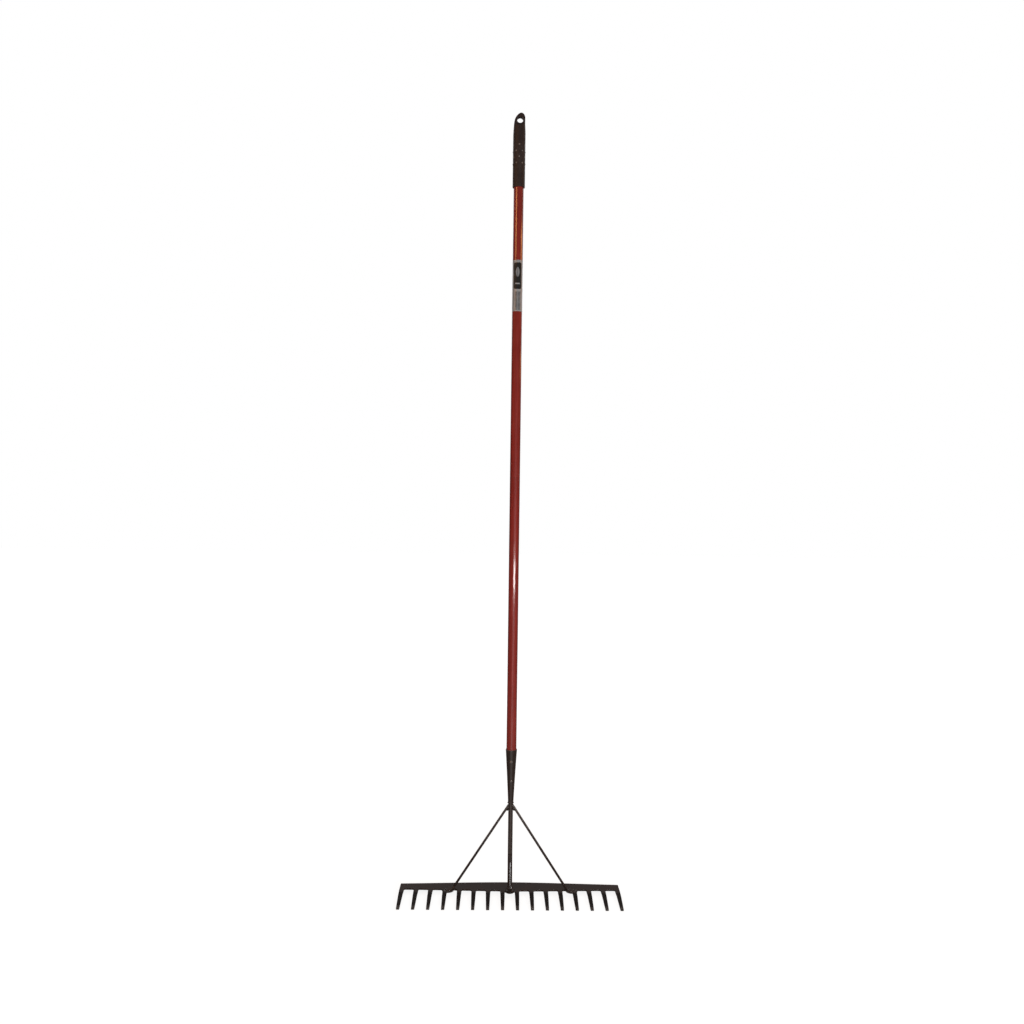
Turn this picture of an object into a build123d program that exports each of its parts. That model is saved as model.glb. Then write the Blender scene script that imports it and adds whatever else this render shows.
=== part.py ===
from build123d import *
import math
import os

# A garden rake: a painted tube handle with a moulded grip, riveted into a tapered socket,
# and a toothed bar carried by a central shank and two straight stays.
#
# Frame, in millimetres: +Z runs up the handle's axis to the grip, +X runs along the toothed
# bar, and the teeth point towards -Y. The origin is on the handle's axis, level with the flat
# underside of the bar.

# ---- driving dimensions -------------------------------------------------------------------
HANDLE_RADIUS = 10.0
HANDLE_WALL = 1.2
HANDLE_TOP = 1499.0
HANDLE_FOOT = 210.0

GRIP_RADIUS = 12.4
GRIP_BOTTOM = 1407.0
GRIP_TOP = 1556.0
GRIP_MOUTH_ROUND = 1.8
TAB_HALF_THICKNESS = 4.6
TAB_SHOULDER_LOW = 1526.0
TAB_SHOULDER_HIGH = 1535.0
TAB_SHOULDER_ROUND = 5.0
TAB_CROWN_X = 4.0
HANG_HOLE_X = 1.2
HANG_HOLE_Z = 1541.6
HANG_HOLE_RADIUS = 6.1
PIP_RADIUS = 1.7
PIP_HEIGHT = 0.65
PIP_ROWS = 4
PIP_FIRST_ROW = 1454.0
PIP_ROW_STEP = 12.0
PIPS_PER_ROW = 6

LABEL_BOTTOM = 1159.0
LABEL_TOP = 1261.0
LABEL_THICKNESS = 0.15
LABEL_GAP = 0.02
LABEL_SEAM_WIDTH = 1.2

SOCKET_TOP = 281.0
SOCKET_FOOT = 174.0
SOCKET_WALL = 1.3
SOCKET_RIM_RADIUS = 11.35
SOCKET_FOOT_RADIUS = 5.4
SOCKET_CURVE = 1.05
FIT_GAP = 0.05

UPPER_RIVET_Z = 257.6
LOWER_RIVET_Z = 218.0
RIVET_PIN_RADIUS = 1.6
UPPER_RIVET_HEAD = 3.0
LOWER_RIVET_HEAD = 2.6
RIVET_HEAD_HEIGHT = 1.4

SHANK_RADIUS = 4.7
TANG_RADIUS = 4.05
TANG_TOP = 204.0
SHANK_BEND_TOP = 72.0
SHANK_BEND_ANGLE = 18.0
SHANK_BEND_RADIUS = 60.0
SHANK_ROUND_END = 13.5
SHANK_PAD_Y = -22.0
SHANK_PAD_WIDTH = 18.8
SHANK_PAD_LENGTH = 24.0
SHANK_PAD_THICKNESS = 4.6

BRACE_RADIUS = 2.4
BRACE_TOP_X = 3.5
BRACE_TOP_Z = 169.0
BRACE_FOOT_X = 111.0
BRACE_FOOT_Y = -7.0
BRACE_FOOT_Z = 7.0
BRACE_PAD_X = 122.0
BRACE_PAD_Y = -16.0
BRACE_PAD_WIDTH = 15.0
BRACE_PAD_LENGTH = 17.0
BRACE_PAD_THICKNESS = 3.2

PLATE_THICKNESS = 3.6
BAR_MIDDLE_BACK = 21.0
BAR_MIDDLE_FRONT = -15.5
BAR_QUARTER_X = 110.0
BAR_QUARTER_BACK = 17.5
BAR_QUARTER_FRONT = -12.7
BAR_END_BACK = 12.0
BAR_END_FRONT = -10.5
BAR_CORNER_ROUND = 1.5
STEEL_EDGE_ROUND = 0.9

TOOTH_COUNT = 16
TOOTH_PITCH = 28.75
TOOTH_WIDTH = 9.2
TOOTH_BEND_WIDTH = 8.4
TOOTH_TIP_WIDTH = 6.2
TOOTH_ROOT_ROUND = 3.0
TOOTH_STUB_Y = -21.0
TOOTH_BEND_Y = -34.0
TOOTH_BEND_RADIUS = 50.0
TOOTH_DROOP = 7.0
TOOTH_TIP_RUN = 45.0
TOOTH_TIP_ROUND = 0.8

WELD_RING_RADIUS = 1.3
WELD_RING_DROP = 0.5
SHANK_WELD_Y = -17.0
SHANK_WELD_RADIUS = 12.8
BRACE_WELD_X = 123.4
BRACE_WELD_Y = -17.3
BRACE_WELD_RADIUS = 12.1
WELD_LENS_HALF = 2.8
WELD_LENS_Z = 2.8
TOP_WELD_X = 5.8
TOP_WELD_Z = 162.4
TOP_WELD_RADIUS = 3.0
TOP_WELD_HALF_LENGTH = 5.8
TOP_WELD_LEAN = 17.0
SLIVER_VOLUME = 0.5

# ---- worked-out values --------------------------------------------------------------------
BAR_END_X = TOOTH_PITCH * (TOOTH_COUNT - 1) / 2 + TOOTH_WIDTH / 2
FAR = 60.0


def tooth_x(index):
    return (index - (TOOTH_COUNT - 1) / 2) * TOOTH_PITCH


def spin(face):
    """Turn a profile drawn in the XZ plane once round the handle's axis."""
    return revolve(face, Axis.Z, 360)


def ring(outer_radius, inner_radius, bottom, top):
    middle = Location((0, 0, (bottom + top) / 2))
    height = top - bottom
    return middle * (Cylinder(outer_radius, height) - Cylinder(inner_radius, height))


def socket_curve(inset):
    """The socket's side line from rim to foot, moved in by inset."""
    stations = [1.0, 0.8, 0.5, 0.25, 0.0]
    slope = SOCKET_RIM_RADIUS - SOCKET_FOOT_RADIUS - SOCKET_CURVE
    points = []
    for t in stations:
        radius = SOCKET_FOOT_RADIUS + slope * t + SOCKET_CURVE * t * t - inset
        height = SOCKET_FOOT + (SOCKET_TOP - SOCKET_FOOT) * t
        points.append((radius, 0, height))
    return Spline(*points)


def tapered_shell(outer_inset, wall, foot_z):
    """A thin shell that follows the socket's taper, open at both ends."""
    outer = socket_curve(outer_inset)
    inner = socket_curve(outer_inset + wall)
    rim = Line(outer @ 0, inner @ 0)
    foot = Line(outer @ 1, inner @ 1)
    shell = spin(make_face([outer, foot, inner, rim]))
    below = Location((0, 0, foot_z - FAR)) * Cylinder(2 * SOCKET_RIM_RADIUS, 2 * FAR)
    return shell - below


def socket_envelope():
    """The socket's outside as a full solid, for seating rivets and welds."""
    side = socket_curve(0)
    rim = Line((0, 0, SOCKET_TOP), side @ 0)
    foot = Line(side @ 1, (0, 0, SOCKET_FOOT))
    core = Line((0, 0, SOCKET_FOOT), (0, 0, SOCKET_TOP))
    return spin(make_face([rim, side, foot, core]))


def socket_radius(height):
    t = (height - SOCKET_FOOT) / (SOCKET_TOP - SOCKET_FOOT)
    slope = SOCKET_RIM_RADIUS - SOCKET_FOOT_RADIUS - SOCKET_CURVE
    return SOCKET_FOOT_RADIUS + slope * t + SOCKET_CURVE * t * t


def rivet_holes():
    holes = []
    for height in (UPPER_RIVET_Z, LOWER_RIVET_Z):
        place = Location((0, 0, height), (90, 0, 0))
        holes.append(place * Cylinder(RIVET_PIN_RADIUS + FIT_GAP, 4 * SOCKET_RIM_RADIUS))
    return holes


def make_socket():
    return tapered_shell(0, SOCKET_WALL, SOCKET_FOOT) - rivet_holes()


def make_handle_tube():
    straight = ring(HANDLE_RADIUS, HANDLE_RADIUS - HANDLE_WALL, SOCKET_TOP, HANDLE_TOP)
    taper = tapered_shell(SOCKET_WALL + FIT_GAP, HANDLE_WALL, HANDLE_FOOT)
    return straight + taper - rivet_holes()


def make_rivet(height, head_radius):
    """A round pin right through, with a domed head seated on each side of the socket."""
    reach = socket_radius(height)
    dome_radius = (head_radius**2 + RIVET_HEAD_HEIGHT**2) / (2 * RIVET_HEAD_HEIGHT)
    dome_centre = reach + RIVET_HEAD_HEIGHT - dome_radius
    pin_length = 2 * (reach + RIVET_HEAD_HEIGHT / 2)
    pin = Location((0, 0, height), (90, 0, 0)) * Cylinder(RIVET_PIN_RADIUS, pin_length)
    heads = []
    for side in (-1, 1):
        ball = Location((0, side * dome_centre, height)) * Sphere(dome_radius)
        heads.append(ball - socket_envelope())
    return pin + heads


def make_hand_grip():
    """A blind sleeve: round body, lopsided flattened tab with the hanging hole, raised pips."""
    body_height = GRIP_TOP - GRIP_BOTTOM
    body = Location((0, 0, GRIP_BOTTOM + body_height / 2)) * Cylinder(GRIP_RADIUS, body_height)
    body = fillet(body.edges().group_by(Axis.Z)[0], GRIP_MOUTH_ROUND)

    side_reach = GRIP_RADIUS + 0.2
    tab_reach = math.sqrt(GRIP_RADIUS**2 - TAB_HALF_THICKNESS**2) - 0.2
    top_line = Spline(
        (-side_reach, 0, GRIP_TOP - 52),
        (-tab_reach, 0, GRIP_TOP - 27),
        (-8.4, 0, GRIP_TOP - 11),
        (-2.8, 0, GRIP_TOP - 3.2),
        (TAB_CROWN_X, 0, GRIP_TOP),
        (9.2, 0, GRIP_TOP - 3.4),
        (tab_reach, 0, GRIP_TOP - 16),
        (side_reach, 0, GRIP_TOP - 52),
        tangents=[(0, 0, 1), (0, 0, -1)],
    )
    outline = make_face(
        [
            top_line,
            Line(top_line @ 1, (side_reach, 0, GRIP_BOTTOM)),
            Line((side_reach, 0, GRIP_BOTTOM), (-side_reach, 0, GRIP_BOTTOM)),
            Line((-side_reach, 0, GRIP_BOTTOM), top_line @ 0),
        ]
    )
    body = body & extrude(outline, FAR, both=True)

    flat = Polyline(
        (0, TAB_HALF_THICKNESS, GRIP_TOP + 5),
        (0, TAB_HALF_THICKNESS, TAB_SHOULDER_HIGH),
        (0, 2 * GRIP_RADIUS, 2 * TAB_SHOULDER_LOW - TAB_SHOULDER_HIGH),
        (0, 2 * GRIP_RADIUS, GRIP_TOP + 5),
        close=True,
    )
    side_cut = extrude(make_face(flat.edges()), FAR, both=True)
    inner_corner = side_cut.edges().filter_by(Axis.X).sort_by_distance(
        (0, TAB_HALF_THICKNESS, TAB_SHOULDER_HIGH)
    )[0]
    side_cut = fillet(inner_corner, TAB_SHOULDER_ROUND)
    body = body - side_cut - mirror(side_cut, Plane.XZ)

    hole = Location((HANG_HOLE_X, 0, HANG_HOLE_Z), (90, 0, 0)) * Cylinder(HANG_HOLE_RADIUS, FAR)
    body = body - hole
    bore_height = HANDLE_TOP + FIT_GAP - GRIP_BOTTOM
    bore_place = Location((0, 0, GRIP_BOTTOM + bore_height / 2))
    body = body - bore_place * Cylinder(HANDLE_RADIUS + FIT_GAP, bore_height)
    return body + grip_pips()


def grip_pips():
    dome_radius = (PIP_RADIUS**2 + PIP_HEIGHT**2) / (2 * PIP_HEIGHT)
    dome_centre = GRIP_RADIUS + PIP_HEIGHT - dome_radius
    pips = []
    for row in range(PIP_ROWS):
        for index in range(PIPS_PER_ROW):
            turn = (index + 0.5 * (row % 2 == 0)) * 360 / PIPS_PER_ROW - 90
            spot = Location((0, 0, PIP_FIRST_ROW + row * PIP_ROW_STEP), (0, 0, turn))
            ball = Location((dome_centre, 0, 0)) * Sphere(dome_radius)
            inner_half = Location((dome_centre - dome_radius, 0, 0)) * Box(*[2 * dome_radius] * 3)
            pips.append(spot * (ball - inner_half))
    return pips


def make_handle_label():
    """A thin wrap with a narrow gap at the back, where its two ends meet."""
    inner = HANDLE_RADIUS + LABEL_GAP
    wrap = ring(inner + LABEL_THICKNESS, inner, LABEL_BOTTOM, LABEL_TOP)
    height = LABEL_TOP - LABEL_BOTTOM
    seam = Box(LABEL_SEAM_WIDTH, HANDLE_RADIUS, 2 * height)
    return wrap - Location((0, HANDLE_RADIUS, LABEL_BOTTOM + height / 2)) * seam


def bar_edge(end_y, quarter_y, middle_y):
    """One long edge of the bar, bowed so that the bar is deepest in the middle."""
    return Spline(
        (-BAR_END_X, end_y),
        (-BAR_QUARTER_X, quarter_y),
        (0, middle_y),
        (BAR_QUARTER_X, quarter_y),
        (BAR_END_X, end_y),
    )


def bar_face():
    """The bar's outline seen from above, with the sixteen square tooth roots."""
    back = bar_edge(BAR_END_BACK, BAR_QUARTER_BACK, BAR_MIDDLE_BACK)
    front = bar_edge(BAR_END_FRONT, BAR_QUARTER_FRONT, BAR_MIDDLE_FRONT)
    bar = make_face([back, Line(back @ 1, front @ 1), front, Line(front @ 0, back @ 0)])
    back_corners = bar.vertices().sort_by(Axis.Y)[-2:]
    bar = fillet(back_corners, BAR_CORNER_ROUND)
    for index in range(TOOTH_COUNT):
        stub = Location((tooth_x(index), TOOTH_STUB_Y / 2)) * Rectangle(TOOTH_WIDTH, -TOOTH_STUB_Y)
        bar = bar + stub
    roots = [
        corner
        for corner in bar.vertices()
        if BAR_MIDDLE_FRONT - 0.5 < corner.Y < BAR_END_FRONT + 0.5
        and abs(corner.X) < BAR_END_X - TOOTH_WIDTH / 2
    ]
    return fillet(roots, TOOTH_ROOT_ROUND)


def make_bar():
    bar = extrude(bar_face(), PLATE_THICKNESS)
    rounded = []
    for edge in bar.edges():
        spot = edge.center()
        on_face = min(abs(spot.Z), abs(spot.Z - PLATE_THICKNESS)) < 0.01
        on_stub_end = spot.Y < TOOTH_STUB_Y + 0.01
        if on_face and not on_stub_end:
            rounded.append(edge)
    return fillet(rounded, STEEL_EDGE_ROUND)


def tooth_section(middle, run, width):
    plane = Plane(origin=middle, x_dir=(1, 0, 0), z_dir=run)
    return plane * RectangleRounded(width, PLATE_THICKNESS, STEEL_EDGE_ROUND)


def make_tooth(x):
    """One tooth: level with the bar at its root, then bent a little down towards its tip."""
    droop = math.radians(TOOTH_DROOP)
    level = Vector(0, -1, 0)
    down = Vector(0, -math.cos(droop), -math.sin(droop))
    mid_height = PLATE_THICKNESS / 2
    root = Vector(x, TOOTH_STUB_Y, mid_height)
    bend_start = Vector(x, TOOTH_BEND_Y, mid_height)
    bend_centre = bend_start - Vector(0, 0, TOOTH_BEND_RADIUS)
    bend_end = bend_centre + Vector(0, -math.sin(droop), math.cos(droop)) * TOOTH_BEND_RADIUS
    tip = bend_end + down * TOOTH_TIP_RUN

    start_section = tooth_section(bend_start, level, TOOTH_BEND_WIDTH)
    level_run = loft([tooth_section(root, level, TOOTH_WIDTH), start_section])
    bend = revolve(start_section, Axis(bend_centre, (1, 0, 0)), TOOTH_DROOP)
    end_section = tooth_section(bend_end, down, TOOTH_BEND_WIDTH)
    tip_run = loft([end_section, tooth_section(tip, down, TOOTH_TIP_WIDTH)])
    tip_face = tip_run.faces().sort_by_distance(tip)[0]
    return level_run + bend + fillet(tip_face.edges(), TOOTH_TIP_ROUND)


def make_rake_head():
    teeth = [make_tooth(tooth_x(index)) for index in range(TOOTH_COUNT)]
    return make_bar() + teeth


def flattened_end(round_end, heading, rod_radius, pad_spot, pad_size):
    """A rod's end forged out to a rounded pad that lies flat on the bar."""
    width, length, thickness = pad_size
    lie = Plane(origin=pad_spot, x_dir=(1, 0, 0), z_dir=(0, 0, 1))
    slab = extrude(lie * Ellipse(width / 2, length / 2), thickness)
    pad = fillet(slab.edges().group_by(Axis.Z)[-1], 0.7 * thickness)
    flat_way = Vector(pad_spot.X - round_end.X, pad_spot.Y - round_end.Y, 0).normalized()
    across = flat_way.cross(Vector(0, 0, 1))
    rod_plane = Plane(origin=round_end, x_dir=across, z_dir=heading)
    pad_plane = Plane(origin=pad_spot, x_dir=across, z_dir=flat_way)
    neck = loft([rod_plane * Circle(rod_radius), pad_plane * Ellipse(0.46 * width, thickness)])
    return neck - below_bar_top() + pad


def below_bar_top():
    return Location((0, 0, PLATE_THICKNESS - FAR / 2)) * Box(3 * BAR_END_X, 4 * FAR, FAR)


def make_shank():
    bend = math.radians(SHANK_BEND_ANGLE)
    heading = Vector(0, -math.sin(bend), -math.cos(bend))
    bend_end = Vector(
        0,
        -SHANK_BEND_RADIUS * (1 - math.cos(bend)),
        SHANK_BEND_TOP - SHANK_BEND_RADIUS * math.sin(bend),
    )
    run = (bend_end.Z - SHANK_ROUND_END) / math.cos(bend)

    tang_length = TANG_TOP - SOCKET_FOOT
    tang = Location((0, 0, SOCKET_FOOT + tang_length / 2)) * Cylinder(TANG_RADIUS, tang_length)
    neck_length = SOCKET_FOOT - SHANK_BEND_TOP
    neck = Location((0, 0, SHANK_BEND_TOP + neck_length / 2)) * Cylinder(SHANK_RADIUS, neck_length)
    bend_plane = Plane(origin=(0, 0, SHANK_BEND_TOP), x_dir=(1, 0, 0), z_dir=(0, 0, -1))
    bend_axis = Axis((0, -SHANK_BEND_RADIUS, SHANK_BEND_TOP), (-1, 0, 0))
    elbow = revolve(bend_plane * Circle(SHANK_RADIUS), bend_axis, SHANK_BEND_ANGLE)
    run_plane = Plane(origin=bend_end, x_dir=(1, 0, 0), z_dir=heading)
    lower = extrude(run_plane * Circle(SHANK_RADIUS), run)
    pad_spot = Vector(0, SHANK_PAD_Y, PLATE_THICKNESS)
    pad_size = (SHANK_PAD_WIDTH, SHANK_PAD_LENGTH, SHANK_PAD_THICKNESS)
    pad = flattened_end(bend_end + heading * run, heading, SHANK_RADIUS, pad_spot, pad_size)
    return tang + neck + elbow + lower + pad


def make_brace(side, shank):
    """One stay, side -1 for left or 1 for right, cut to fit the round of the shank."""
    top = Vector(side * BRACE_TOP_X, 0, BRACE_TOP_Z)
    foot = Vector(side * BRACE_FOOT_X, BRACE_FOOT_Y, BRACE_FOOT_Z)
    heading = (foot - top).normalized()
    rod_plane = Plane(origin=top, z_dir=heading)
    rod = extrude(rod_plane * Circle(BRACE_RADIUS), (foot - top).length)
    pad_spot = Vector(side * BRACE_PAD_X, BRACE_PAD_Y, PLATE_THICKNESS)
    pad_size = (BRACE_PAD_WIDTH, BRACE_PAD_LENGTH, BRACE_PAD_THICKNESS)
    return rod + flattened_end(foot, heading, BRACE_RADIUS, pad_spot, pad_size) - shank


def make_socket_weld(shank):
    """A ring of weld in the corner between the socket's foot and the shank."""
    bead = Location((0, 0, SOCKET_FOOT - WELD_RING_DROP)) * Torus(SHANK_RADIUS + 0.4, WELD_RING_RADIUS)
    return bead - shank - socket_envelope()


def make_top_weld(side, shank, brace, ring_weld):
    """A leaning, egg-shaped bead where one stay meets the shank."""
    profile = Plane.XZ * Ellipse(TOP_WELD_RADIUS, TOP_WELD_HALF_LENGTH)
    width = 2 * TOP_WELD_RADIUS
    half = Plane.XZ * (Location((TOP_WELD_RADIUS, 0)) * Rectangle(width, 3 * TOP_WELD_HALF_LENGTH))
    place = Location((side * TOP_WELD_X, 0, TOP_WELD_Z), (0, -side * TOP_WELD_LEAN, 0))
    egg = place * revolve(profile & half, Axis.Z, 360)
    return egg - shank - brace - ring_weld


def pad_weld(x, y, radius, pad, rake_head):
    """A low lens of weld round a pad, which also fills the bar's edge in front of it."""
    ball_radius = (radius**2 + WELD_LENS_HALF**2) / (2 * WELD_LENS_HALF)
    shift = ball_radius - WELD_LENS_HALF
    upper = Location((x, y, WELD_LENS_Z - shift)) * Sphere(ball_radius)
    lower = Location((x, y, WELD_LENS_Z + shift)) * Sphere(ball_radius)
    return (upper & lower) - pad - rake_head


def save(name, *shapes):
    """Write one node, without the slivers that cutting leaves."""
    found = [solid for shape in shapes for solid in shape.solids()]
    solids = [solid for solid in found if solid.volume > SLIVER_VOLUME]
    node = solids[0] if len(solids) == 1 else Compound(children=solids)
    export_step(node, f"parts/{name}.step")


def main():
    os.makedirs("parts", exist_ok=True)
    sides = (-1, 1)
    rake_head = make_rake_head()
    shank = make_shank()
    braces = [make_brace(side, shank) for side in sides]
    ring_weld = make_socket_weld(shank)
    top_welds = [make_top_weld(side, shank, brace, ring_weld) for side, brace in zip(sides, braces)]
    foot_welds = [
        pad_weld(side * BRACE_WELD_X, BRACE_WELD_Y, BRACE_WELD_RADIUS, brace, rake_head)
        for side, brace in zip(sides, braces)
    ]

    save("handle_tube", make_handle_tube())
    save("hand_grip", make_hand_grip())
    save("handle_label", make_handle_label())
    save("socket", make_socket())
    save("upper_rivet", make_rivet(UPPER_RIVET_Z, UPPER_RIVET_HEAD))
    save("lower_rivet", make_rivet(LOWER_RIVET_Z, LOWER_RIVET_HEAD))
    save("shank", shank)
    save("brace_left", braces[0])
    save("brace_right", braces[1])
    save("rake_head", rake_head)
    save("socket_weld", ring_weld)
    save("brace_top_welds", *top_welds)
    save("shank_weld", pad_weld(0, SHANK_WELD_Y, SHANK_WELD_RADIUS, shank, rake_head))
    save("brace_foot_welds", *foot_welds)


main()
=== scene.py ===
import math

import bpy
from mathutils import Matrix, Vector


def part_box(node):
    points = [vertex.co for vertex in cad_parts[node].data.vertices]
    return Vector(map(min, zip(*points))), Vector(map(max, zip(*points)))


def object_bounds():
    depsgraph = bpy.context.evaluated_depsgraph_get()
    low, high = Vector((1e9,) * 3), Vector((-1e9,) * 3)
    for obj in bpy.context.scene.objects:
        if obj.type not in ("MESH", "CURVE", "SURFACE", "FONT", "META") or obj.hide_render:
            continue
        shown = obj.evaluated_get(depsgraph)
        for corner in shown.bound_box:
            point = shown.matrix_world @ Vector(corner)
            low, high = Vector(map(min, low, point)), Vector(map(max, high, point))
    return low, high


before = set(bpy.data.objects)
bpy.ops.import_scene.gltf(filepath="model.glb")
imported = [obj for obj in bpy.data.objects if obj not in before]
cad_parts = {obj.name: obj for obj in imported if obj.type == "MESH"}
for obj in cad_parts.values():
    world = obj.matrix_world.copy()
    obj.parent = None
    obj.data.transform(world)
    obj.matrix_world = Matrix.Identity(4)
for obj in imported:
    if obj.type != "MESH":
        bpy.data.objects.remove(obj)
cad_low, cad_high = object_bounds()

# A garden rake: painted tube handle, moulded grip, riveted socket, shank, two stays, toothed bar.
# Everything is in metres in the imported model's frame: +Z up the handle's axis, +X along the
# toothed bar, teeth towards -Y, and the origin level with the bar's flat underside.

MM = 0.001

# ---- places taken from the frame ----------------------------------------------------------
LABEL_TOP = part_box("handle_label")[1].z
TOOTH_TIP_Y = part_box("rake_head")[0].y
grip_low, grip_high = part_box("hand_grip")
PIP_TOP_RADIUS = (grip_high.x - grip_low.x) / 2

# ---- colours ------------------------------------------------------------------------------
RED = (0.36, 0.036, 0.026)
RED_DEEP = (0.27, 0.026, 0.02)
RED_WORN = (0.38, 0.05, 0.036)
RED_DUST = (0.42, 0.22, 0.16)
BLACK = (0.033, 0.020, 0.016)
BLACK_DUSTY = (0.066, 0.045, 0.038)
BLACK_TEETH_SHADE = (0.013, 0.009, 0.007)
BLACK_SLIT = (0.006, 0.005, 0.004)
BARE_STEEL = (0.30, 0.27, 0.25)
RIVET_STEEL = (0.34, 0.31, 0.29)
RUBBER = (0.039, 0.026, 0.024)
RUBBER_FADED = (0.060, 0.045, 0.041)
RUBBER_LINT = (0.20, 0.17, 0.15)
RUBBER_PIP_HIGHLIGHT = (0.30, 0.27, 0.25)
FILM = (0.39, 0.42, 0.45)
FILM_BRIGHT = (0.53, 0.56, 0.59)
FILM_BAR = (0.38, 0.40, 0.43)
PANEL_INK = (0.022, 0.023, 0.023)
RULE_INK = (0.04, 0.04, 0.045)
FLOOR_GREY = (0.3, 0.3, 0.3)
WHITE = (1.0, 1.0, 1.0)
WARM = (1.0, 0.45, 0.15)

# ---- where the paint changes --------------------------------------------------------------
TIP_WEAR_LENGTH = 14 * MM
# Past this line the teeth get painted shade: their paint is made darker and duller.
TEETH_SHADE_LINE = -20 * MM
TEETH_SHADE_FADE = 14 * MM
SLIT_HALF_WIDTH = 0.5 * MM
SEAM_HALF_WIDTH = 0.5 * MM

# ---- the label's artwork: heights are below its top edge, widths from its middle ----------
ART_MIDDLE = 0.1 * MM
BADGE_DROP, BADGE_HALF, BADGE_CORNER = 31.5 * MM, (7.4 * MM, 26.5 * MM), 3.2 * MM
LEAF_DROP, LEAF_HALF = 24 * MM, (3.6 * MM, 11 * MM)
RIB_HALF_WIDTH = 0.25 * MM
BAR_DROP, BAR_HALF, BAR_CORNER = 47 * MM, (4.6 * MM, 1.3 * MM), 0.5 * MM
RULES_DROP, RULES_HALF, RULES_CORNER = 81 * MM, (2.45 * MM, 18.5 * MM), 0.3 * MM
RULES_MIDDLES = (-2.15 * MM, 3.75 * MM)
RULE_HALF_PITCH = 1.2 * MM

# ---- shape added on top of the CAD surfaces -----------------------------------------------
GRIP_VOXEL = 0.45 * MM
WELD_VOXEL = 0.35 * MM
SMOOTHING_ROUNDS = 3
LUMP_SIZE = 2.2 * MM
LUMP_HEIGHT = 0.9 * MM
LUMP_MIDDLE = 0.45

# ---- stage, light and camera --------------------------------------------------------------
FLOOR_HEIGHT = cad_low.z - 0.2 * MM
FLOOR_HALF = 12.0
FLOOR_GLOW_NEAR, FLOOR_GLOW_FAR = 0.88, 1.0
FLOOR_GLOW_START, FLOOR_GLOW_END = 0.3, 2.0
FLOOR_MIRRORED = 0.8
SKY_LOW, SKY_HIGH = 0.02, 0.2
SKY_TURN_START, SKY_TURN_END = 0.26, 0.46
HANDLE_MIDDLE = (0.0, 0.0, 0.75)
# Each light: name, place, the point it faces, width and height, radiance, colour.
LIGHTS = (
    ("key_strip", (0.48, -1.70, 0.487), (0, 0, 0.55), (1.3, 0.11), 30.0, WHITE),
    ("overhead", (0.3, -0.8, 3.2), HANDLE_MIDDLE, (2.0, 2.0), 0.2, WHITE),
    ("back_left", (-1.4, 2.2, 2.3), HANDLE_MIDDLE, (1.5, 1.5), 1.7, WHITE),
    ("back_right", (1.6, 2.0, 2.2), HANDLE_MIDDLE, (1.5, 1.5), 1.7, WHITE),
    ("warm_left", (-1.53, -1.29, 1.97), (0, 0, 1.35), (0.9, 0.32), 9.5, WARM),
    ("warm_right", (1.99, -0.17, 1.89), (0, 0, 1.3), (1.0, 0.14), 10.0, WARM),
    ("warm_glint", (1.95, 0.45, 1.37), (0, 0, 1.05), (0.6, 0.12), 6.0, WARM),
)
CAMERA_PLACE = Vector((-0.0307, -1.7670, 0.7717))
CAMERA_PAN = math.radians(-0.834)
CAMERA_TILT = math.radians(-0.437)
CAMERA_ROLL = math.radians(0.745)
CAMERA_LENS = 30.94
CAMERA_SENSOR = 36.0

# ---- material building blocks -------------------------------------------------------------
# A noise hardly ever leaves this range.
NOISE_LOW, NOISE_HIGH = 0.3, 0.8
# Blender's Mix node has sockets for every kind of data. These are the ones for colours.
MIX_SHARE, MIX_FIRST, MIX_SECOND, MIX_RESULT = 0, 6, 7, 2


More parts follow.
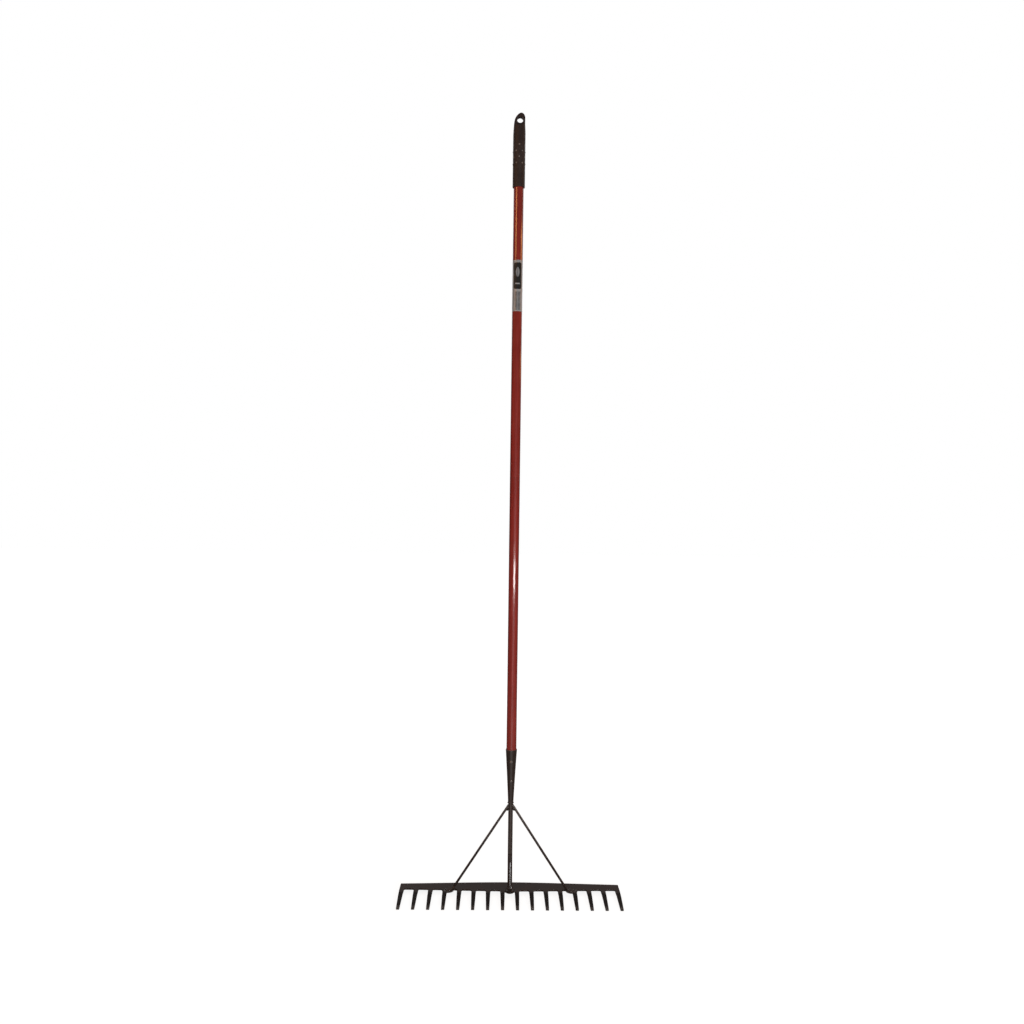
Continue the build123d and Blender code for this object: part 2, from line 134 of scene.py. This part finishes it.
class Recipe:
    """A material's node tree, with short calls for the few kinds of node used here."""

    def __init__(self, name, base):
        self.material = bpy.data.materials.new(name)
        self.material.use_nodes = True
        self.material.diffuse_color = (*base, 1)
        self.nodes = self.material.node_tree.nodes
        self.links = self.material.node_tree.links
        self.surface = self.nodes["Principled BSDF"]
        self.place = self.nodes.new("ShaderNodeTexCoord").outputs["Object"]
        self.relief = None
        self.set("Base Color", base)

    def set(self, name, value):
        """Give a Principled input a number, a colour or another node's output."""
        self.feed(self.surface.inputs[name], value)

    def feed(self, socket, value):
        if isinstance(value, bpy.types.NodeSocket):
            self.links.new(value, socket)
        elif isinstance(value, tuple):
            socket.default_value = (*value, 1)
        else:
            socket.default_value = value

    def noise(self, size, detail=4.0, rough=0.5, along=1.0):
        """Cloudy noise from 0 to 1 in patches of about size metres.

        With along below 1 the patches are drawn out along the handle."""
        mapping = self.nodes.new("ShaderNodeMapping")
        mapping.inputs["Scale"].default_value = (1, 1, along)
        self.links.new(self.place, mapping.inputs["Vector"])
        node = self.nodes.new("ShaderNodeTexNoise")
        node.inputs["Scale"].default_value = 1 / size
        node.inputs["Detail"].default_value = detail
        node.inputs["Roughness"].default_value = rough
        self.links.new(mapping.outputs["Vector"], node.inputs["Vector"])
        return node.outputs["Fac"]

    def part(self, axis):
        """One coordinate of the point being shaded: X, Y or Z."""
        node = self.nodes.new("ShaderNodeSeparateXYZ")
        self.links.new(self.place, node.inputs["Vector"])
        return node.outputs[axis]

    def math(self, operation, first, second=0.0):
        node = self.nodes.new("ShaderNodeMath")
        node.operation = operation
        self.feed(node.inputs[0], first)
        self.feed(node.inputs[1], second)
        return node.outputs["Value"]

    def both(self, first, second):
        """The product of two values: two masks, or a mask and its strength."""
        return self.math("MULTIPLY", first, second)

    def from_middle(self, axis, middle=0.0):
        """How far the point is from a coordinate, on either side."""
        return self.math("ABSOLUTE", self.math("SUBTRACT", self.part(axis), middle))

    def distance(self, first, second):
        """The length of a flat vector with these two parts."""
        squares = self.math("ADD", self.both(first, first), self.both(second, second))
        return self.math("SQRT", squares)

    def off_axis(self):
        """How far the point being shaded is from the handle's axis."""
        return self.distance(self.part("X"), self.part("Y"))

    def span(self, value, low, high, out_low=0.0, out_high=1.0):
        """Where value runs from low to high, a smooth run from out_low to out_high."""
        node = self.nodes.new("ShaderNodeMapRange")
        node.interpolation_type = "SMOOTHSTEP"
        self.feed(node.inputs["Value"], value)
        names = ("From Min", "From Max", "To Min", "To Max")
        for name, number in zip(names, (low, high, out_low, out_high)):
            self.feed(node.inputs[name], number)
        return node.outputs["Result"]

    def vary(self, noise, first, second):
        """A value that follows a noise, from first at its low end to second at its high end."""
        return self.span(noise, NOISE_LOW, NOISE_HIGH, first, second)

    def choose(self, mask, off, on):
        """The value off where a mask is 0, and the value on where it is 1."""
        return self.span(mask, 0.0, 1.0, off, on)

    def mix(self, share, first, second):
        """Two colours blended: share 0 gives the first, share 1 the second."""
        node = self.nodes.new("ShaderNodeMix")
        node.data_type = "RGBA"
        self.feed(node.inputs[MIX_SHARE], share)
        self.feed(node.inputs[MIX_FIRST], first)
        self.feed(node.inputs[MIX_SECOND], second)
        return node.outputs[MIX_RESULT]

    def bump(self, height, depth):
        """Add relief of about depth metres. Each call adds to the last."""
        node = self.nodes.new("ShaderNodeBump")
        node.inputs["Strength"].default_value = 1.0
        node.inputs["Distance"].default_value = depth
        self.links.new(height, node.inputs["Height"])
        if self.relief is not None:
            self.links.new(self.relief, node.inputs["Normal"])
        self.relief = node.outputs["Normal"]
        self.set("Normal", self.relief)

    def facing_up(self):
        """A mask of surfaces that face upwards, where dust settles."""
        normal = self.nodes.new("ShaderNodeNewGeometry").outputs["Normal"]
        split = self.nodes.new("ShaderNodeSeparateXYZ")
        self.links.new(normal, split.inputs["Vector"])
        return self.span(split.outputs["Z"], 0.3, 0.9)

    def edge_on(self):
        """A mask of surfaces that are seen nearly edge-on."""
        facing = self.nodes.new("ShaderNodeLayerWeight").outputs["Facing"]
        return self.span(facing, 0.55, 0.72)

    def edge_wear(self, amount):
        """A mask of convex edges, where paint rubs thin."""
        sharpness = self.nodes.new("ShaderNodeNewGeometry").outputs["Pointiness"]
        sharp = self.span(sharpness, 0.52, 0.58, 0.0, amount)
        return self.both(sharp, self.noise(9 * MM, detail=5, rough=0.6))


# ---- materials ----------------------------------------------------------------------------
def red_enamel():
    """Glossy red enamel on a drawn tube: faint orange peel, streaks, rubbed patches and dust."""
    paint = Recipe("red_enamel", RED)
    streaks = paint.noise(6 * MM, detail=3, along=0.06)
    patches = paint.noise(70 * MM, rough=0.55)
    peel = paint.noise(2.6 * MM, detail=2, rough=0.4)
    dust = paint.span(paint.noise(2.2 * MM, detail=6, rough=0.7), 0.62, 0.78)
    scratch = paint.span(paint.noise(1.1 * MM, detail=2, rough=0.4, along=0.05), 0.70, 0.76)

    colour = paint.mix(paint.span(streaks, 0.35, 0.7), RED_DEEP, RED)
    colour = paint.mix(paint.span(patches, 0.45, 0.75, 0.0, 0.35), colour, RED_WORN)
    colour = paint.mix(paint.both(dust, 0.12), colour, RED_DUST)
    colour = paint.mix(paint.both(scratch, 0.22), colour, RED_DUST)
    paint.set("Base Color", colour)
    paint.set("Roughness", paint.vary(patches, 0.34, 0.5))
    paint.set("Specular IOR Level", 0.2)
    # A mirror-bright rim would bite white notches out of the outline on a white ground.
    paint.set("Coat Weight", paint.choose(paint.edge_on(), 0.8, 0.0))
    paint.set("Coat Roughness", paint.vary(patches, 0.07, 0.13))
    paint.bump(peel, 0.012 * MM)
    paint.bump(streaks, 0.01 * MM)
    paint.bump(scratch, -0.01 * MM)
    return paint.material


def black_enamel(name, folded=False):
    """Satin brown-black paint over forged steel: pitted, dusty on top, thin on edges and tips.

    The teeth, past a line near their roots, get painted shade: a darker, duller copy of the paint.
    A folded piece, rolled from sheet, also shows the dark slit down its back where it closes."""
    paint = Recipe(name, BLACK)
    cloud = paint.noise(24 * MM, detail=5, rough=0.6)
    grit = paint.noise(1.6 * MM, detail=5, rough=0.65)
    pits = paint.noise(7 * MM, rough=0.55)
    tip = paint.span(paint.part("Y"), TOOTH_TIP_Y + TIP_WEAR_LENGTH, TOOTH_TIP_Y)
    rubbed = paint.both(tip, paint.span(grit, 0.42, 0.6))
    worn = paint.math("MAXIMUM", paint.edge_wear(0.9), paint.both(rubbed, 0.6))
    # Painted shade on the teeth: beyond the line their colour darkens and their gloss drops.
    teeth_shade = paint.span(paint.part("Y"), TEETH_SHADE_LINE, TEETH_SHADE_LINE - TEETH_SHADE_FADE)
    settled = paint.both(paint.facing_up(), paint.span(grit, 0.45, 0.7, 0.0, 0.25))

    colour = paint.mix(paint.span(cloud, 0.4, 0.75, 0.0, 0.4), BLACK, BLACK_DUSTY)
    colour = paint.mix(settled, colour, BLACK_DUSTY)
    colour = paint.mix(teeth_shade, colour, BLACK_TEETH_SHADE)
    colour = paint.mix(worn, colour, BARE_STEEL)
    if folded:
        near_slit = paint.span(paint.from_middle("X"), SLIT_HALF_WIDTH, SLIT_HALF_WIDTH / 2)
        slit = paint.both(near_slit, paint.span(paint.part("Y"), 0.0, 1 * MM))
        colour = paint.mix(slit, colour, BLACK_SLIT)
        paint.bump(slit, -0.4 * MM)
    paint.set("Base Color", colour)
    paint.set("Metallic", paint.both(worn, 0.7))
    paint.set("Roughness", paint.vary(cloud, 0.34, 0.5))
    paint.set("Specular IOR Level", paint.choose(teeth_shade, 0.2, 0.08))
    coat = paint.vary(cloud, 0.55, 0.3)
    paint.set("Coat Weight", paint.both(coat, paint.choose(teeth_shade, 1.0, 0.25)))
    paint.set("Coat Roughness", paint.span(grit, 0.3, 0.7, 0.09, 0.18))
    paint.bump(pits, 0.16 * MM)
    paint.bump(grit, 0.05 * MM)
    return paint.material


def weld_enamel():
    """The same paint over weld metal: rippled, with specks of spatter and slag."""
    paint = Recipe("weld_enamel", BLACK)
    ripples = paint.noise(1.3 * MM, detail=3, rough=0.55)
    slag = paint.span(paint.noise(2.4 * MM, detail=5, rough=0.7), 0.58, 0.72)
    paint.set("Base Color", paint.mix(paint.both(slag, 0.6), BLACK, BLACK_DUSTY))
    paint.set("Roughness", paint.choose(slag, 0.36, 0.6))
    paint.bump(ripples, 0.12 * MM)
    return paint.material


def grip_rubber():
    """Dark moulded rubber: fine texture, a parting line down both sides, a painted highlight on
    the pips' tops.
    """
    skin = Recipe("grip_rubber", RUBBER)
    cloud = skin.noise(18 * MM, rough=0.55)
    texture = skin.noise(0.9 * MM, detail=3, rough=0.6)
    lint = skin.span(skin.noise(1.0 * MM, detail=5, rough=0.7), 0.64, 0.74)
    pip = skin.span(skin.off_axis(), PIP_TOP_RADIUS - 0.6 * MM, PIP_TOP_RADIUS - 0.35 * MM)
    seam = skin.span(skin.from_middle("Y"), SEAM_HALF_WIDTH, 0.4 * SEAM_HALF_WIDTH)

    colour = skin.mix(skin.span(cloud, 0.4, 0.75), RUBBER, RUBBER_FADED)
    colour = skin.mix(skin.both(lint, 0.3), colour, RUBBER_LINT)
    # Painted highlight: the tops of the raised pips are made pale.
    colour = skin.mix(skin.both(pip, 0.75), colour, RUBBER_PIP_HIGHLIGHT)
    skin.set("Base Color", colour)
    skin.set("Roughness", skin.vary(cloud, 0.5, 0.7))
    skin.set("Specular IOR Level", 0.3)
    skin.bump(texture, 0.07 * MM)
    skin.bump(seam, 0.15 * MM)
    return skin.material


def panel(foil, middle, drop, half, corner):
    """A mask of a rounded rectangle printed on the label."""
    half_width, half_height = half
    beside = foil.math("SUBTRACT", foil.from_middle("X", middle), half_width - corner)
    above = foil.math("SUBTRACT", foil.from_middle("Z", LABEL_TOP - drop), half_height - corner)
    gap = foil.distance(foil.math("MAXIMUM", beside, 0.0), foil.math("MAXIMUM", above, 0.0))
    return foil.span(gap, corner + 0.15 * MM, corner - 0.15 * MM)


def leaf(foil, middle, drop, half):
    """A mask of a pointed leaf with a rib: the overlap of two discs, parted down the middle."""
    half_width, half_height = half
    radius = (half_width**2 + half_height**2) / (2 * half_width)
    shift = radius - half_width
    height = foil.from_middle("Z", LABEL_TOP - drop)
    mask = foil.span(foil.from_middle("X"), RIB_HALF_WIDTH, RIB_HALF_WIDTH + 0.3 * MM)
    for disc_middle in (middle - shift, middle + shift):
        reach = foil.distance(foil.from_middle("X", disc_middle), height)
        mask = foil.both(mask, foil.span(reach, radius + 0.1 * MM, radius - 0.1 * MM))
    return mask


def label_foil():
    """Silver film with a plain dark panel, a leaf on it, and two columns of ruled lines."""
    foil = Recipe("label_foil", FILM)
    streaks = foil.noise(3 * MM, rough=0.6, along=0.15)
    front = foil.span(foil.part("Y"), 0.0, -1 * MM)
    badge = panel(foil, ART_MIDDLE, BADGE_DROP, BADGE_HALF, BADGE_CORNER)
    mark = leaf(foil, ART_MIDDLE, LEAF_DROP, LEAF_HALF)
    bar = panel(foil, ART_MIDDLE, BAR_DROP, BAR_HALF, BAR_CORNER)
    rules = foil.span(foil.math("PINGPONG", foil.part("Z"), RULE_HALF_PITCH), 0.35 * MM, 0.55 * MM)
    prints = [(badge, 1.0, PANEL_INK), (mark, 0.8, FILM), (bar, 1.0, FILM_BAR)]
    for middle in RULES_MIDDLES:
        column = panel(foil, middle, RULES_DROP, RULES_HALF, RULES_CORNER)
        prints.append((foil.both(column, rules), 0.8, RULE_INK))

    colour = foil.mix(foil.span(streaks, 0.3, 0.7), FILM, FILM_BRIGHT)
    for shape, strength, ink in prints:
        colour = foil.mix(foil.both(foil.both(shape, front), strength), colour, ink)
    foil.set("Base Color", colour)
    foil.set("Metallic", foil.choose(badge, 0.35, 0.0))
    foil.set("Roughness", foil.vary(streaks, 0.42, 0.55))
    foil.set("Specular IOR Level", 0.3)
    foil.bump(streaks, 0.01 * MM)
    return foil.material


def rivet_steel():
    """A steel rivet with most of its paint knocked off the head."""
    steel = Recipe("rivet_steel", RIVET_STEEL)
    chips = steel.span(steel.noise(2 * MM, rough=0.6), 0.45, 0.6)
    dents = steel.noise(0.8 * MM, detail=3, rough=0.6)
    steel.set("Base Color", steel.mix(chips, RIVET_STEEL, BLACK_DUSTY))
    steel.set("Metallic", 0.8)
    steel.set("Roughness", steel.choose(chips, 0.32, 0.5))
    steel.bump(dents, 0.05 * MM)
    return steel.material


def finish_nodes(names, material):
    """Put one material on every slot of the named nodes."""
    for name in names:
        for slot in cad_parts[name].material_slots:
            slot.material = material


# ---- shape added on top of the CAD surfaces -----------------------------------------------
def remesh(node, voxel):
    """Rebuild a node's surface finely and even it out, which rounds its sharp edges."""
    grid = node.modifiers.new("fine_grid", "REMESH")
    grid.mode = "VOXEL"
    grid.voxel_size = voxel
    grid.use_smooth_shade = True
    ease = node.modifiers.new("eased_edges", "SMOOTH")
    ease.iterations = SMOOTHING_ROUNDS
    ease.factor = 0.5


def add_lumps(node):
    """Raise and sink a weld's surface in soft lumps."""
    clouds = bpy.data.textures.new("weld_lumps", "CLOUDS")
    clouds.noise_scale = LUMP_SIZE
    push = node.modifiers.new("weld_lumps", "DISPLACE")
    push.texture = clouds
    push.texture_coords = "LOCAL"
    push.strength = LUMP_HEIGHT
    push.mid_level = LUMP_MIDDLE


# ---- stage, light and camera --------------------------------------------------------------
def add_floor():
    """A pale floor under the lowest teeth that fades into the white background.

    Seen by the camera it glows, more brightly further out. Seen in reflections it glows only
    in a patch in front of the rake, so that the blacks stay dark."""
    corners = [(-1, -1), (1, -1), (1, 1), (-1, 1)]
    points = [(x * FLOOR_HALF, y * FLOOR_HALF, FLOOR_HEIGHT) for x, y in corners]
    mesh = bpy.data.meshes.new("floor")
    mesh.from_pydata(points, [], [(0, 1, 2, 3)])
    floor = bpy.data.objects.new("floor", mesh)
    bpy.context.scene.collection.objects.link(floor)

    pale = Recipe("pale_floor", FLOOR_GREY)
    seen = pale.nodes.new("ShaderNodeLightPath").outputs["Is Camera Ray"]
    from_handle = pale.off_axis()
    glow = pale.span(
        from_handle, FLOOR_GLOW_START, FLOOR_GLOW_END, FLOOR_GLOW_NEAR, FLOOR_GLOW_FAR
    )
    ahead = pale.span(pale.part("Y"), -0.2, -0.5)
    narrow = pale.span(pale.from_middle("X"), 0.35, 0.2)
    mirrored = pale.both(pale.both(ahead, narrow), FLOOR_MIRRORED)
    unseen = pale.math("SUBTRACT", 1.0, seen)
    strength = pale.math("ADD", pale.both(seen, glow), pale.both(unseen, mirrored))
    pale.set("Emission Color", WHITE)
    pale.set("Emission Strength", strength)
    pale.set("Roughness", 0.9)
    pale.set("Specular IOR Level", 0.0)
    mesh.materials.append(pale.material)


def add_world():
    """White behind the object, and a dimmer light on it that is strongest from above."""
    world = bpy.data.worlds.new("studio")
    bpy.context.scene.world = world
    world.use_nodes = True
    nodes, links = world.node_tree.nodes, world.node_tree.links
    split = nodes.new("ShaderNodeSeparateXYZ")
    links.new(nodes.new("ShaderNodeTexCoord").outputs["Generated"], split.inputs["Vector"])
    sky = nodes.new("ShaderNodeMapRange")
    sky.interpolation_type = "SMOOTHSTEP"
    sky.inputs["From Min"].default_value = SKY_TURN_START
    sky.inputs["From Max"].default_value = SKY_TURN_END
    sky.inputs["To Min"].default_value = SKY_LOW
    sky.inputs["To Max"].default_value = SKY_HIGH
    links.new(split.outputs["Z"], sky.inputs["Value"])
    strength = nodes.new("ShaderNodeMapRange")
    links.new(nodes.new("ShaderNodeLightPath").outputs["Is Camera Ray"], strength.inputs["Value"])
    links.new(sky.outputs["Result"], strength.inputs["To Min"])
    strength.inputs["To Max"].default_value = 1.0
    background = nodes["Background"]
    background.inputs["Color"].default_value = (*WHITE, 1)
    links.new(strength.outputs["Result"], background.inputs["Strength"])


def add_light(name, place, aim, size, radiance, colour):
    """A rectangular soft light whose face has the given brightness."""
    lamp = bpy.data.lights.new(name, "AREA")
    lamp.shape = "RECTANGLE"
    lamp.size, lamp.size_y = size
    lamp.energy = radiance * math.pi * lamp.size * lamp.size_y
    lamp.color = colour
    holder = bpy.data.objects.new(name, lamp)
    holder.location = place
    facing = (Vector(aim) - Vector(place)).to_track_quat("-Z", "Y")
    holder.rotation_euler = facing.to_euler()
    bpy.context.scene.collection.objects.link(holder)


def add_camera():
    """Level with the middle of the handle, turned a little right and leaning a little."""
    right = Vector((math.cos(CAMERA_PAN), math.sin(CAMERA_PAN), 0))
    ahead = Vector((-math.sin(CAMERA_PAN), math.cos(CAMERA_PAN), 0))
    down = Vector((0, 0, -1))
    tilted_down = math.cos(CAMERA_TILT) * down + math.sin(CAMERA_TILT) * ahead
    tilted_ahead = -math.sin(CAMERA_TILT) * down + math.cos(CAMERA_TILT) * ahead
    rolled_right = math.cos(CAMERA_ROLL) * right - math.sin(CAMERA_ROLL) * tilted_down
    rolled_down = math.sin(CAMERA_ROLL) * right + math.cos(CAMERA_ROLL) * tilted_down
    turn = Matrix((rolled_right, -rolled_down, -tilted_ahead)).transposed().to_4x4()
    lens = bpy.data.cameras.new("camera")
    lens.lens = CAMERA_LENS
    lens.sensor_width = CAMERA_SENSOR
    lens.clip_start = 20 * MM
    camera = bpy.data.objects.new("camera", lens)
    camera.matrix_world = Matrix.Translation(CAMERA_PLACE) @ turn
    bpy.context.scene.collection.objects.link(camera)
    bpy.context.scene.camera = camera


# ---- putting it together ------------------------------------------------------------------
STEEL_NODES = ("shank", "brace_left", "brace_right", "rake_head")
WELD_NODES = ("socket_weld", "brace_top_welds", "shank_weld", "brace_foot_welds")

finish_nodes(STEEL_NODES, black_enamel("black_enamel"))
finish_nodes(["socket"], black_enamel("folded_black_enamel", folded=True))
finish_nodes(WELD_NODES, weld_enamel())
finish_nodes(["handle_tube"], red_enamel())
finish_nodes(["hand_grip"], grip_rubber())
finish_nodes(["handle_label"], label_foil())
finish_nodes(["upper_rivet", "lower_rivet"], rivet_steel())

remesh(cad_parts["hand_grip"], GRIP_VOXEL)
for name in WELD_NODES:
    remesh(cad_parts[name], WELD_VOXEL)
    add_lumps(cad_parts[name])

add_floor()
add_world()
for light in LIGHTS:
    add_light(*light)
add_camera()
bpy.context.scene.view_settings.view_transform = "Standard"
